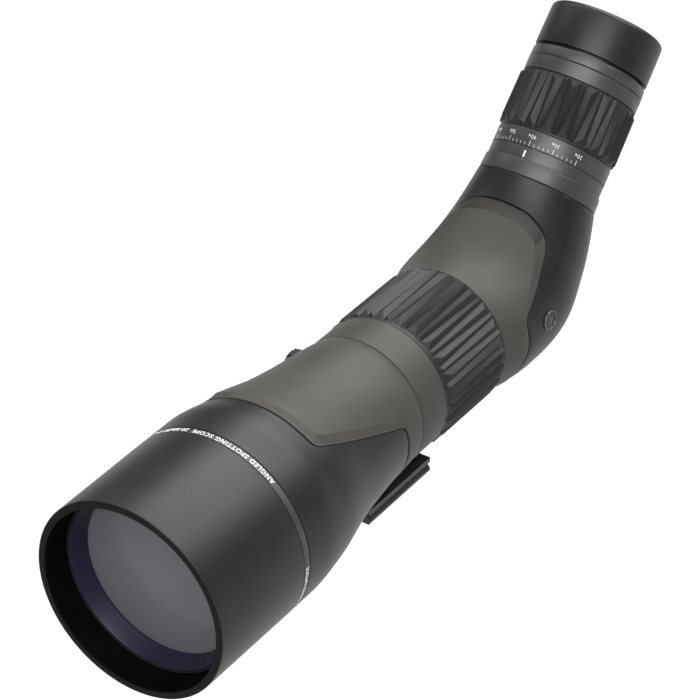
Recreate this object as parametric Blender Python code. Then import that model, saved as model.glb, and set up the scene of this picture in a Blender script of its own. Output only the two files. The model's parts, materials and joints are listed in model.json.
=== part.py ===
"""Angled spotting scope with a rotating tripod collar, as separate pieces on real joints.

Lengths are in millimetres and become metres when a mesh is made.  A place along the scope is s,
the distance behind the front rim of the sunshade; h is the height over the tube's axis.  On the
eyepiece s is counted from the point where its axis meets the tube's axis.  An angle round an axis
is counted from the top towards +X.
"""
import math

import bmesh
import bpy
from mathutils import Vector

MM = 0.001

# Overall layout
AXIS_HEIGHT = 48.5          # tube axis over the underside of the foot
FOOT_CENTRE = 179.2         # s of the middle of the foot, the part's origin
BEND = 288.3                # s where the eyepiece axis meets the tube axis
EYEPIECE_TILT = 45.0        # degrees up from the tube axis
GAP = 0.3                   # between neighbouring solids
SIDES = 36                  # facets round the tube
EYE_SIDES = 30              # facets round the eyepiece
SMALL_SIDES = 18            # facets round small round pieces
INNER_SIDES = 22            # facets round the lenses and their cells

# Sunshade and objective
HOOD_R, HOOD_BORE = 48.8, 44.9
HOOD_END = 63.9
TRIM_START, TRIM_SEAT_R = 60.3, 47.0
CELL_START, CELL_END, CELL_R = 14.2, 66.0, 44.5
CELL_BORE = 43.7
CLEAR_R = 40.0              # clear aperture of 80 mm
LENS_R = 43.3
LENS_SEAT = 24.3            # s of the front lens's edge

# Bell, from the sunshade to the collar: outer radius of the finished surface at each s
BELL = [(64.3, 48.7), (78, 48.65), (86, 48.1), (94, 47.1), (102, 45.8), (112, 43.5), (122, 41.1),
        (132, 39.3), (145, 37.5), (160, 35.9), (173.8, 34.7)]
SKIN = 2.0                  # thickness of the rubber armour and of the panels
WALL = 2.0                  # thickness of the metal under it
BELL_PROUD = 0.4            # the panel stands this much over the mean surface, the armour under it
# Angle from the top, and s of the panel's front edge there
BELL_EDGE = [(0, 94.8), (25, 95.0), (36, 95.4), (39.3, 96.3), (41.3, 98.2), (43.6, 102.4),
             (48, 111), (55, 125), (63, 139.5), (69, 150.5), (72.5, 156.5), (75, 158.9), (79, 160.0),
             (86, 160.6), (104, 161.3), (180, 162)]
BELL_BEVEL = 4.0

# Collar, focus barrel and foot
COLLAR_START, COLLAR_END, COLLAR_R, COLLAR_BORE = 174.2, 193.4, 34.6, 32.0
JOURNAL_R, JOURNAL_BORE, JOURNAL_END = 31.6, 29.2, 196.0
FOCUS_START, FOCUS_END = 193.8, 243.3
FOCUS_GRIP_R, FOCUS_SLEEVE_R = 35.4, 33.2
FOOT_LENGTH, FOOT_WIDTH, FOOT_HEIGHT = 50.6, 38.0, 8.0
NECK_WIDTH, NECK_LENGTH = 28.0, 15.0
SCREW_X = (-8.5, 8.5)       # the two foot screws, side by side under the middle of the collar
THREAD_S = 164.5            # tripod thread in the foot
KNOB_R, KNOB_X, KNOB_WIDE = 7.3, -38.6, 7.1
BOSS_END = -KNOB_X - 0.8    # face of the boss that the lock screw runs in
KNOB_SIDES = 24

# Prism housing: t, radius up and down, radius sideways, drop of the centre towards the belly
ELBOW = [(0.0, 33.6, 33.6, 0.0), (0.25, 35.6, 37.6, 4.4), (0.5, 37.4, 38.6, 7.6),
         (0.75, 34.6, 35.1, 5.0), (1.0, 30.2, 30.2, 0.0)]
ELBOW_BEFORE, ELBOW_AFTER, ELBOW_PULL = 44.6, 51.8, 0.62
# Angle from the top, and t of the panel's rear edge there
ELBOW_EDGE = [(0, 0.80), (22, 0.79), (33, 0.762), (40, 0.735), (44, 0.705), (47, 0.65), (50, 0.54),
              (57, 0.40), (64, 0.283), (68, 0.232), (73, 0.213), (90, 0.19), (111, 0.15),
              (131, 0.135), (180, 0.13)]
ELBOW_PROUD, ELBOW_BEVEL = 0.6, 0.075

# Eyepiece stations
MOUNT_RING = (52.1, 59.9, 29.9)
INDEX_RING = (60.2, 66.0, 28.9)
SCALE_RING = (66.3, 74.7, 28.95)
ZOOM_GRIP = (75.0, 104.4, 30.0)
TOP_RING = (104.7, 111.6, 28.95)
CAP_RING = (111.9, 117.0, 28.8)
BARREL_R, BARREL_BORE = 24.5, 22.6
TURN_BORE = 24.85           # bore of everything round the barrel
EYECUP = (118.6, 141.5, 28.9)
EYECUP_BORE, EYECUP_LIP_R = 25.5, 20.0
TWIST_R, TWIST_BORE = 25.2, 23.6
EYE_TUBE_R, EYE_TUBE_BORE = 23.2, 20.6

# Finishes: colour, roughness, metallic
ARMOUR = ((0.028, 0.028, 0.029, 1), 0.5, 0.0)
OLIVE = ((0.115, 0.115, 0.10, 1), 0.5, 0.1)
GRIP = ((0.035, 0.035, 0.036, 1), 0.6, 0.0)
RING_METAL = ((0.11, 0.11, 0.11, 1), 0.4, 0.7)
BLACK_METAL = ((0.02, 0.02, 0.02, 1), 0.4, 0.6)
CHASSIS = ((0.05, 0.05, 0.052, 1), 0.5, 0.8)
STEEL = ((0.35, 0.35, 0.36, 1), 0.3, 0.9)
GLASS = ((0.35, 0.34, 0.42, 1), 0.05, 0.0)
COATED = ((0.06, 0.04, 0.12, 1), 0.3, 0.2)
SEAL = ((0.02, 0.02, 0.02, 1), 0.7, 0.0)


def clear_scene():
    for item in list(bpy.data.objects):
        bpy.data.objects.remove(item, do_unlink=True)


def axis_frame(name, s, tilt):
    """An empty on an axis: its own Z runs along the axis, and its own -Y is up."""
    frame = bpy.data.objects.new(name, None)
    frame.location = (0, (s - FOOT_CENTRE) * MM, AXIS_HEIGHT * MM)
    frame.rotation_euler = (math.radians(tilt - 90), 0, 0)
    bpy.context.collection.objects.link(frame)
    return frame


def finish_material(name, finish):
    colour, roughness, metallic = finish
    material = bpy.data.materials.new(name)
    material.use_nodes = True
    shader = material.node_tree.nodes["Principled BSDF"]
    shader.inputs["Base Color"].default_value = colour
    shader.inputs["Roughness"].default_value = roughness
    shader.inputs["Metallic"].default_value = metallic
    material.diffuse_color = colour
    return material


def add_solid(name, mesh_data, finish, frame=None, cutter=False):
    """Turn a bmesh in millimetres into an object in metres, under its frame."""
    bmesh.ops.scale(mesh_data, vec=(MM, MM, MM), verts=mesh_data.verts)
    bmesh.ops.recalc_face_normals(mesh_data, faces=mesh_data.faces)
    mesh = bpy.data.meshes.new(name)
    mesh_data.to_mesh(mesh)
    mesh_data.free()
    mesh.shade_smooth()
    mesh.set_sharp_from_angle(angle=math.radians(30))
    solid = bpy.data.objects.new(name, mesh)
    solid.parent = frame
    bpy.context.collection.objects.link(solid)
    if cutter:
        solid.hide_render = True
        solid.display_type = "WIRE"
    else:
        mesh.materials.append(finish_material(name, finish))
    return solid


def boolean(solid, tool, operation="DIFFERENCE"):
    change = solid.modifiers.new(tool.name, "BOOLEAN")
    change.operation = operation
    change.solver = "EXACT"
    change.object = tool


def interpolate(table, x, column=1):
    """Smooth value of a table at x: straight between equal slopes, with no overshoot."""
    last = len(table) - 1
    if x <= table[0][0]:
        return table[0][column]
    if x >= table[last][0]:
        return table[last][column]
    low = max(i for i in range(last) if table[i][0] <= x)

    def slope(i):
        if i == 0 or i == last:
            return None
        before = (table[i][column] - table[i - 1][column]) / (table[i][0] - table[i - 1][0])
        after = (table[i + 1][column] - table[i][column]) / (table[i + 1][0] - table[i][0])
        return 0.0 if before * after <= 0 else 2 * before * after / (before + after)

    step = table[low + 1][0] - table[low][0]
    rise = (table[low + 1][column] - table[low][column]) / step
    start = slope(low)
    stop = slope(low + 1)
    start = rise if start is None else start
    stop = rise if stop is None else stop
    u = (x - table[low][0]) / step
    return (table[low][column] * (1 + 2 * u) * (1 - u) ** 2 + step * start * u * (1 - u) ** 2
            + table[low + 1][column] * u * u * (3 - 2 * u) + step * stop * u * u * (u - 1))


def ring_points(s, radius, sides, turn=0.0):
    """Points round an axis, the first at the top and the next towards +X.  Turn is in facets."""
    angles = [2 * math.pi * (i + turn) / sides for i in range(sides)]
    return [Vector((radius * math.sin(a), -radius * math.cos(a), s)) for a in angles]


def bridge(mesh_data, first, second):
    count = len(first)
    if len(second) == 1:
        for i in range(count):
            mesh_data.faces.new((first[i], first[(i + 1) % count], second[0]))
        return
    for i in range(count):
        j = (i + 1) % count
        mesh_data.faces.new((first[i], first[j], second[j], second[i]))


def ring_solid(name, rings, finish, frame, closed=True, cutter=False):
    """A solid through rings of points.  Closed joins the last ring to the first, as a tube wall."""
    mesh_data = bmesh.new()
    made = [[mesh_data.verts.new(p) for p in ring] for ring in rings]
    for first, second in zip(made, made[1:]):
        if len(first) == 1:
            bridge(mesh_data, second, first)
        else:
            bridge(mesh_data, first, second)
    if closed:
        bridge(mesh_data, made[-1], made[0])
    return add_solid(name, mesh_data, finish, frame, cutter)


def turned(name, outline, finish, frame, sides=SIDES, cutter=False):
    """Turn an outline of (s, radius) round the axis.  One that starts at radius 0 is solid.

    A cutter is turned a little, so that none of its edges meets an edge of what it cuts.
    """
    turn = 0.37 if cutter and sides < SIDES else 0.0
    rings = [ring_points(s, r, sides, turn) if r > 0 else [Vector((0, 0, s))] for s, r in outline]
    return ring_solid(name, rings, finish, frame, closed=outline[0][1] > 0, cutter=cutter)


def tube(name, start, stop, bore, radius, finish, frame, sides=SIDES, chamfer=0.4):
    """A plain tube, with chamfered outer edges where a chamfer is given."""
    if not chamfer:
        return turned(name, [(start, bore), (start, radius), (stop, radius), (stop, bore)], finish,
                      frame, sides)
    outline = [(start, bore), (start, radius - chamfer), (start + chamfer, radius),
               (stop - chamfer, radius), (stop, radius - chamfer), (stop, bore)]
    return turned(name, outline, finish, frame, sides)


def rod(name, start, stop, radius, finish, frame, sides=SMALL_SIDES, cutter=False):
    outline = [(start, 0), (start, radius), (stop, radius), (stop, 0)]
    return turned(name, outline, finish, frame, sides, cutter)


def sag(radius, curve):
    """How far a spherical surface has fallen back at this radius."""
    return curve - math.copysign(math.sqrt(curve * curve - radius * radius), curve)


def lens(name, front, thickness, radius, front_curve, back_curve, frame, finish=GLASS, steps=2):
    """A lens, from the front vertex back; a positive curve bulges to the front."""
    radii = [radius * i / steps for i in range(steps + 1)]
    outline = [(front + sag(r, front_curve), r) for r in radii]
    outline += [(front + thickness + sag(r, back_curve), r) for r in reversed(radii)]
    return turned(name, outline, finish, frame, INNER_SIDES)


def extruded(name, outline, axis, low, high, finish, frame=None, cutter=False):
    """Extrude a flat outline from low to high along axis 0, 1 or 2 of world-aligned space."""
    mesh_data = bmesh.new()
    sides = [i for i in range(3) if i != axis]
    rings = []
    for level in (low, high):
        ring = []
        for a, b in outline:
            point = [0, 0, 0]
            point[axis], point[sides[0]], point[sides[1]] = level, a, b
            ring.append(mesh_data.verts.new(point))
        rings.append(ring)
    bridge(mesh_data, rings[0], rings[1])
    mesh_data.faces.new(rings[0])
    mesh_data.faces.new(list(reversed(rings[1])))
    return add_solid(name, mesh_data, finish, frame, cutter)


def box(name, corner_a, corner_b, finish, frame=None, cutter=False):
    (x0, y0, z0), (x1, y1, z1) = corner_a, corner_b
    return extruded(name, [(x0, y0), (x1, y0), (x1, y1), (x0, y1)], 2, z0, z1, finish, frame, cutter)


def side_frame(name, s, height, turn, across=0.0):
    """An empty at a place on the scope, with its own Z turned away from the upright."""
    frame = bpy.data.objects.new(name, None)
    frame.location = (across * MM, (s - FOOT_CENTRE) * MM, (AXIS_HEIGHT + height) * MM)
    frame.rotation_euler = turn
    bpy.context.collection.objects.link(frame)
    return frame


# ---- tripod collar, foot and lock ----------------------------------------------------------

def make_collar(tube_axis):
    middle = (COLLAR_START + COLLAR_END) / 2
    ring = tube("collar_ring", COLLAR_START, COLLAR_END, COLLAR_BORE, COLLAR_R, OLIVE, tube_axis)
    half, reach, in_wall = NECK_WIDTH / 2, NECK_LENGTH / 2, (COLLAR_BORE + COLLAR_R) / 2
    spread = math.asin(half / in_wall)
    arch = [(in_wall * math.sin(spread * u / 4), in_wall * math.cos(spread * u / 4))
            for u in range(-4, 5)]
    foot_top = AXIS_HEIGHT - FOOT_HEIGHT - GAP
    neck = extruded("neck", arch + [(half, foot_top), (-half, foot_top)], 2, middle - reach,
                    middle + reach, OLIVE, tube_axis, cutter=True)
    for across in SCREW_X:
        foot_axis = side_frame("foot_axis", middle, -AXIS_HEIGHT, (0, 0, 0), across)
        boolean(neck, rod("neck_hole", 5, 13.8, 2.3, OLIVE, foot_axis, cutter=True))
    boss_axis = side_frame("boss_axis", middle, 0, (0, math.radians(-90), 0))
    boolean(ring, neck, "UNION")
    boolean(ring, rod("boss", in_wall, BOSS_END, 5.2, OLIVE, boss_axis, cutter=True), "UNION")
    boolean(ring, rod("screw_bore", 20, 42, 2.3, OLIVE, boss_axis, cutter=True))


def make_foot():
    half = FOOT_WIDTH / 2
    dovetail = [(half - 0.6, 0), (half, 0.6), (half, 2.0), (half - 1.8, 4.2), (half, 5.4),
                (half, FOOT_HEIGHT), (-half, FOOT_HEIGHT), (-half, 5.4), (-half + 1.8, 4.2),
                (-half, 2.0), (-half, 0.6), (-half + 0.6, 0)]
    reach = FOOT_LENGTH / 2
    foot = extruded("mounting_foot", dovetail, 1, -reach, reach, BLACK_METAL)
    middle = (COLLAR_START + COLLAR_END) / 2
    for number, across in enumerate(SCREW_X, 1):
        axis = side_frame("screw_axis", middle, -AXIS_HEIGHT, (0, 0, 0), across)
        boolean(foot, turned("counterbore", [(-1, 0), (-1, 4.2), (4.6, 4.2), (4.6, 2.4), (9, 2.4),
                                             (9, 0)], STEEL, axis, SMALL_SIDES, cutter=True))
        screw = turned(f"foot_screw_{number}", [(0.6, 0), (0.6, 3.8), (4.2, 3.8), (4.2, 2.0),
                                                (13.4, 2.0), (13.4, 0)], STEEL, axis, 16)
        boolean(screw, rod("hex_socket", -1, 2.6, 1.6, STEEL, axis, 6, cutter=True))
    axis = side_frame("thread_axis", THREAD_S, -AXIS_HEIGHT, (0, 0, 0))
    boolean(foot, rod("bushing_bore", -1, 9, 5.6, STEEL, axis, cutter=True))
    turned("tripod_bushing", [(0.2, 3.3), (0.2, 5.3), (7.6, 5.3), (7.6, 3.3)], STEEL, axis,
           SMALL_SIDES)


def make_lock():
    middle = (COLLAR_START + COLLAR_END) / 2
    axis = side_frame("lock_axis", middle, 0, (0, math.radians(-90), 0))
    start, stop, bore, bore_end = -KNOB_X, -KNOB_X + KNOB_WIDE, 2.3, -KNOB_X + 4.4
    knurl = 0.5
    rings = [[Vector((0, 0, bore_end))], ring_points(bore_end, bore, KNOB_SIDES),
             ring_points(start, bore, KNOB_SIDES), ring_points(start, 4.0, KNOB_SIDES),
             ring_points(start + 0.9, KNOB_R - 0.7, KNOB_SIDES)]
    for s in (start + 1.5, stop - 1.3):
        ring = ring_points(s, KNOB_R, KNOB_SIDES)
        for point in ring[1::2]:
            point.x *= 1 - knurl / KNOB_R
            point.y *= 1 - knurl / KNOB_R
        rings.append(ring)
    rings += [ring_points(stop - 0.6, KNOB_R - 0.8, KNOB_SIDES),
              ring_points(stop, KNOB_R - 1.8, KNOB_SIDES), [Vector((0, 0, stop + 0.2))]]
    ring_solid("lock_knob", rings, BLACK_METAL, axis, closed=False)
    rod("lock_screw", 33.4, bore_end - GAP, 1.95, STEEL, axis, 16)
    rod("lock_pad", COLLAR_BORE - 0.1, 33.1, 1.9, SEAL, axis, 16)


# ---- sunshade and objective -----------------------------------------------------------------

def make_sunshade(tube_axis):
    edge = 1.0
    turned("sunshade", [(0, HOOD_BORE), (0, HOOD_R - edge), (edge, HOOD_R), (TRIM_START - GAP, HOOD_R),
                        (TRIM_START - GAP, TRIM_SEAT_R), (HOOD_END, TRIM_SEAT_R),
                        (HOOD_END, HOOD_BORE)], ARMOUR, tube_axis)
    turned("sunshade_trim_ring", [(TRIM_START, TRIM_SEAT_R + GAP), (TRIM_START, HOOD_R),
                                  (HOOD_END - 0.3, HOOD_R), (HOOD_END, HOOD_R - 0.3),
                                  (HOOD_END, TRIM_SEAT_R + GAP)], RING_METAL, tube_axis)


def make_objective(tube_axis):
    seat_r = CLEAR_R + 0.6
    stop_s = LENS_SEAT + 22.3
    turned("objective_cell", [(CELL_START, CELL_BORE), (CELL_START, CELL_R), (CELL_END, CELL_R),
                              (CELL_END, 43.0), (stop_s + 3, 41.5), (stop_s + 3, seat_r - 1.2),
                              (stop_s, seat_r - 1.2), (stop_s, CELL_BORE)], BLACK_METAL, tube_axis)
    turned("objective_retaining_ring", [(CELL_START, 42.55), (CELL_START, CELL_BORE - GAP),
                                        (23.3, CELL_BORE - GAP), (23.3, CLEAR_R), (22.3, CLEAR_R)],
           COATED, tube_axis)
    front_vertex = LENS_SEAT - sag(LENS_R, 240)
    lens("objective_front_lens", front_vertex, 11.0, LENS_R, 240, -420, tube_axis)
    back = front_vertex + 11.0
    spacer_start = back + sag(LENS_R, -420) + GAP
    tube("objective_spacer", spacer_start, spacer_start + 2.0, CLEAR_R + 1, LENS_R, BLACK_METAL,
         tube_axis, INNER_SIDES, 0)
    rear_front = spacer_start + 2.0 + GAP - sag(LENS_R, -300)
    lens("objective_rear_lens", rear_front, 5.0, LENS_R, -300, 900, tube_axis)
    start = rear_front + 5.0 + sag(LENS_R, 900) + GAP
    tube("objective_rear_spacer", start, stop_s - GAP, CLEAR_R + 1, LENS_R, BLACK_METAL, tube_axis,
         INNER_SIDES, 0)


# ---- bell with its armour and panel ----------------------------------------------------------

def bell_radius(s, proud=0.0):
    """Finished radius at s.  Proud is added behind the front of the panel, and fades in before."""
    fade = min(max((s - 84) / 10, 0), 1)
    return interpolate(BELL, s) + proud * fade


def lofted_skin(name, sections, finish, frame):
    """A skin from closed sections of 3-D points, one at each angle round the scope."""
    mesh_data = bmesh.new()
    made = [[mesh_data.verts.new(p) for p in section] for section in sections]
    for i, section in enumerate(made):
        bridge(mesh_data, section, made[(i + 1) % len(made)])
    return add_solid(name, mesh_data, finish, frame)


def fold(degrees):
    """An angle round the axis as its distance from the top, from 0 to 180."""
    return min(degrees % 360, 360 - degrees % 360)


def polar(s, radius, degrees):
    angle = math.radians(degrees)
    return Vector((radius * math.sin(angle), -radius * math.cos(angle), s))


def make_bell(tube_axis):
    start, stop = BELL[0][0], BELL[-1][0]
    inner = SKIN + BELL_PROUD + 3 * GAP
    places = (66.3, 82, 96, 116, 136, 170)
    outside = [(s, bell_radius(s) - inner) for s in places]
    inside = [(s, r - WALL) for s, r in reversed(outside)]
    turned("bell_casting", [(outside[0][0], CELL_R + 0.1)] + outside
           + [(COLLAR_START - 0.5, JOURNAL_R), (JOURNAL_END, JOURNAL_R), (JOURNAL_END, JOURNAL_BORE),
              (172, JOURNAL_BORE)] + inside[:-1] + [(68, 43.2)], CHASSIS, tube_axis)
    seam = 0.8
    armour_sections, panel_sections = [], []
    for i in range(SIDES):
        degrees = 360 * i / SIDES
        edge = interpolate(BELL_EDGE, fold(degrees))
        last = edge - seam
        steps = [start, 78] + [78 + (last - 78) * u for u in (0.34, 0.67, 1)]
        outer = [polar(s, bell_radius(s, -BELL_PROUD), degrees) for s in steps]
        under = [polar(s, bell_radius(s) - SKIN - BELL_PROUD, degrees) for s in reversed(steps)]
        armour_sections.append(outer + under)
        steps = [edge, edge + BELL_BEVEL] + [edge + BELL_BEVEL + (stop - edge - BELL_BEVEL) * u
                                             for u in (0.34, 0.67, 1)]
        outer = [polar(s, bell_radius(s, BELL_PROUD), degrees) for s in steps]
        outer[0] = polar(edge, bell_radius(edge, -BELL_PROUD), degrees)
        under = [polar(s, bell_radius(s) - SKIN - BELL_PROUD, degrees) for s in reversed(steps)]
        panel_sections.append(outer + under)
    lofted_skin("bell_armour", armour_sections, ARMOUR, tube_axis)
    lofted_skin("bell_panel", panel_sections, OLIVE, tube_axis)
    turned("glare_baffle", [(110, 30), (110, 36.8), (111.2, 36.8), (111.2, 30)], BLACK_METAL,
           tube_axis, INNER_SIDES)


# ---- focus -------------------------------------------------------------------------------------

def make_focus(tube_axis):
    tube("focus_barrel", JOURNAL_END + GAP, FOCUS_END, JOURNAL_BORE, 31.4, CHASSIS, tube_axis,
         chamfer=0)
    tube("focus_sleeve", FOCUS_START, FOCUS_END, 31.85, FOCUS_SLEEVE_R, RING_METAL, tube_axis,
         chamfer=0)
    tube("focus_grip", FOCUS_START, FOCUS_END, FOCUS_SLEEVE_R + GAP, FOCUS_GRIP_R, GRIP, tube_axis,
         chamfer=1.2)
    turned("focus_lens_cell", [(212, 21.3), (212, 28.8), (228, 28.8), (228, 19), (224.5, 19),
                               (224.5, 21.3)], BLACK_METAL, tube_axis, INNER_SIDES)
    lens("focus_lens", 217.5, 3.2, 21.0, -150, 110, tube_axis)
    turned("focus_lens_clip", [(213, 18.5), (213, 21.0), (215.5, 21.0), (215.5, 18.5)], BLACK_METAL,
           tube_axis, INNER_SIDES)


# ---- prism housing -----------------------------------------------------------------------------

def elbow_middle(t):
    """Centre line of the housing at t, as (s, h), and its direction in degrees."""
    tilt = math.radians(EYEPIECE_TILT)
    start = Vector((BEND - ELBOW_BEFORE, 0))
    corner = Vector((BEND, 0))
    stop = corner + ELBOW_AFTER * Vector((math.cos(tilt), math.sin(tilt)))
    first = start.lerp(corner, ELBOW_PULL)
    second = stop.lerp(corner, ELBOW_PULL)
    place = ((1 - t) ** 3 * start + 3 * (1 - t) ** 2 * t * first
             + 3 * (1 - t) * t * t * second + t ** 3 * stop)
    run = (1 - t) ** 2 * (first - start) + 2 * (1 - t) * t * (second - first) + t * t * (stop - second)
    return place, math.atan2(run.y, run.x)


def elbow_point(t, degrees, proud=0.0):
    """A point of the housing's finished surface, raised by proud, in the tube's frame."""
    place, heading = elbow_middle(t)
    up = Vector((-math.sin(heading), math.cos(heading)))
    angle = math.radians(degrees)
    height = interpolate(ELBOW, t, 1) + proud
    width = interpolate(ELBOW, t, 2) + proud
    spot = place + up * (height * math.cos(angle) - interpolate(ELBOW, t, 3))
    return Vector((width * math.sin(angle), -spot.y, spot.x))


def elbow_skin(name, limits, outer_proud, inner_proud, finish, frame, bevel=None, spans=5):
    """A skin of the housing between two limits of t that may change round it."""
    sections = []
    for i in range(SIDES):
        degrees = 360 * i / SIDES
        low, high = limits(fold(degrees))
        steps = [low + (high - low) * u / spans for u in range(spans + 1)]
        if bevel:
            steps[-2] = high - bevel
        outer = [elbow_point(t, degrees, outer_proud) for t in steps]
        if bevel:
            outer[-1] = elbow_point(steps[-1], degrees)
        under = [elbow_point(t, degrees, inner_proud) for t in reversed(steps)]
        sections.append(outer + under)
    return lofted_skin(name, sections, finish, frame)


def make_housing(tube_axis):
    seam = 0.010
    elbow_skin("prism_housing", lambda a: (0, 1), -SKIN - 3.5 * GAP, -SKIN - 3.5 * GAP - WALL,
               CHASSIS, tube_axis)
    elbow_skin("housing_armour", lambda a: (interpolate(ELBOW_EDGE, a) + seam, 1), 0, -SKIN, ARMOUR,
               tube_axis)
    elbow_skin("housing_panel", lambda a: (0, interpolate(ELBOW_EDGE, a)), ELBOW_PROUD, -SKIN, OLIVE,
               tube_axis, bevel=ELBOW_BEVEL)
    centre = elbow_point(0.385, 84, 0.0)
    away = (elbow_point(0.385, 84, 5.0) - centre).normalized()
    badge_axis = bpy.data.objects.new("badge_axis", None)
    badge_axis.parent = tube_axis
    badge_axis.location = (centre + away * 0.35) * MM
    badge_axis.rotation_mode = "QUATERNION"
    badge_axis.rotation_quaternion = away.to_track_quat("Z", "Y")
    bpy.context.collection.objects.link(badge_axis)
    rod("side_badge", 0, 0.7, 4.9, RING_METAL, badge_axis)


def make_prism(tube_axis):
    plate = turned("prism_plate", [(246.4, 13), (246.4, 27.7), (248.8, 27.7), (248.8, 13)], CHASSIS,
                   tube_axis, INNER_SIDES)
    wide, thin, low, high = 17.3, 1.8, 18.2, 16.0
    cage = box("prism_cage", (-wide - thin, low, 249.1), (wide + thin, low + thin, 276), CHASSIS,
               tube_axis)
    for number, side in enumerate((-1, 1), 1):
        cheek = extruded("cheek", [(-high, 249.1), (low + thin, 249.1), (low + thin, 276),
                                   (4, 281), (-high, 270)], 0, side * wide, side * (wide + thin),
                         CHASSIS, tube_axis, cutter=True)
        boolean(cage, cheek, "UNION")
        lug = box("lug", (side * (wide + 0.5), -4, 249.1), (side * (wide + 7.5), 4, 253.5), CHASSIS,
                  tube_axis, cutter=True)
        boolean(cage, lug, "UNION")
        axis = bpy.data.objects.new("prism_screw_axis", None)
        axis.parent = tube_axis
        axis.location = (side * (wide + 4.6) * MM, 0, 0)
        bpy.context.collection.objects.link(axis)
        for target in (plate, cage):
            boolean(target, rod("prism_screw_hole", 240, 260, 1.5, CHASSIS, axis, 16, cutter=True))
        turned(f"prism_screw_{number}", [(244.3, 0), (244.3, 2.6), (246.1, 2.6), (246.1, 1.2),
                                         (254.4, 1.2), (254.4, 0)], STEEL, axis, 16)
    extruded("roof_prism", [(-15.5, 250.0), (17.8, 250.0), (17.8, 268.0), (6.0, 284.0), (-9, 292),
                            (-22.0, 279)], 0, -wide + GAP, wide - GAP, GLASS, tube_axis)


# ---- eyepiece ------------------------------------------------------------------------------------

def make_eyepiece(eye_axis):
    def band(name, stations, bore, finish, chamfer=0.5):
        start, stop, radius = stations
        return tube(name, start, stop, bore, radius, finish, eye_axis, EYE_SIDES, chamfer)

    band("eyepiece_mount_ring", MOUNT_RING, TURN_BORE, RING_METAL, 0.4)
    band("index_ring", INDEX_RING, TURN_BORE, RING_METAL, 0)
    band("zoom_scale_ring", SCALE_RING, TURN_BORE, RING_METAL, 0)
    band("top_ring", TOP_RING, TURN_BORE, RING_METAL, 0.3)
    band("cap_ring", CAP_RING, TURN_BORE, RING_METAL, 0.3)
    turned("eyepiece_barrel", [(49.0, BARREL_BORE), (49.0, 24.9), (51.6, 24.9), (51.6, BARREL_R),
                               (CAP_RING[1], BARREL_R), (CAP_RING[1], BARREL_BORE)], CHASSIS, eye_axis,
           EYE_SIDES)
    start, stop, radius = ZOOM_GRIP
    turned("zoom_sleeve", [(start, TURN_BORE), (start, 26.6), (stop, 26.6), (stop, TURN_BORE)],
           RING_METAL, eye_axis, EYE_SIDES)
    turned("zoom_grip", [(start, 26.9), (start, radius - 1.0), (start + 1.6, radius),
                         (stop - 1.6, radius - 0.3), (stop, radius - 1.1), (stop, 26.9)], GRIP,
           eye_axis, EYE_SIDES)
    turned("field_stop", [(58, 12), (58, 22.2), (59.2, 22.2), (59.2, 12)], BLACK_METAL, eye_axis,
           INNER_SIDES)
    for name, first, clear in (("front", 70.0, 13.0), ("rear", 88.0, 15.0)):
        turned(f"zoom_cell_{name}", [(first, clear + 0.3), (first, 22.2), (first + 8, 22.2),
                                     (first + 8, clear - 1.5), (first + 6.5, clear - 1.5),
                                     (first + 6.5, clear + 0.3)], BLACK_METAL, eye_axis, INNER_SIDES)
        lens(f"zoom_lens_{name}", first + 1.2, 3.6, clear, 60, -90, eye_axis)


def make_eyecup(eye_axis):
    start, stop, radius = EYECUP
    turned("eye_lens_tube", [(112, EYE_TUBE_BORE - 3), (112, 22.3), (117.0, 22.3), (117.3, EYE_TUBE_R),
                             (136.6, EYE_TUBE_R), (136.6, EYE_TUBE_BORE), (127.0, EYE_TUBE_BORE),
                             (127.0, EYE_TUBE_BORE - 3)], BLACK_METAL, eye_axis, EYE_SIDES)
    lens("eye_lens", 127.6, 6.0, EYE_TUBE_BORE - GAP, 200, -70, eye_axis)
    tube("eye_lens_retainer", 133.2, 135.8, 17.3, EYE_TUBE_BORE - GAP, BLACK_METAL, eye_axis,
         INNER_SIDES, 0)
    tube("eyecup_twist_sleeve", 117.4, 137.0, TWIST_BORE, TWIST_R, BLACK_METAL, eye_axis, EYE_SIDES,
         0)
    lip = [(stop - 2.6 + 2.6 * math.sin(a), radius - 0.2 - 2.6 + 2.6 * math.cos(a))
           for a in (math.pi * i / 8 for i in range(5))]
    turned("eyecup", [(start, EYECUP_BORE), (start, radius)] + lip
           + [(stop, EYECUP_LIP_R + 2.4), (stop - 1.4, EYECUP_LIP_R), (137.5, EYECUP_LIP_R - 0.2),
              (137.5, EYECUP_BORE)], SEAL, eye_axis, EYE_SIDES)


def build():
    clear_scene()
    tube_axis = axis_frame("tube_axis", 0, 0)
    eye_axis = axis_frame("eyepiece_axis", BEND, EYEPIECE_TILT)
    bpy.context.view_layer.update()
    make_collar(tube_axis)
    make_foot()
    make_lock()
    make_sunshade(tube_axis)
    make_objective(tube_axis)
    make_bell(tube_axis)
    make_focus(tube_axis)
    make_housing(tube_axis)
    make_prism(tube_axis)
    make_eyepiece(eye_axis)
    make_eyecup(eye_axis)


build()
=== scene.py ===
"""Looks of the angled spotting scope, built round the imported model.

Lengths are in millimetres and become metres when a mesh is made; the stage is in metres.  s is
the distance behind the sunshade's front rim; on the eyepiece it counts from where the two axes
meet.  An angle is in degrees, from the top of the scope towards +X.
"""
import json
import math

import bmesh
import bpy
from mathutils import Matrix, Vector


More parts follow.
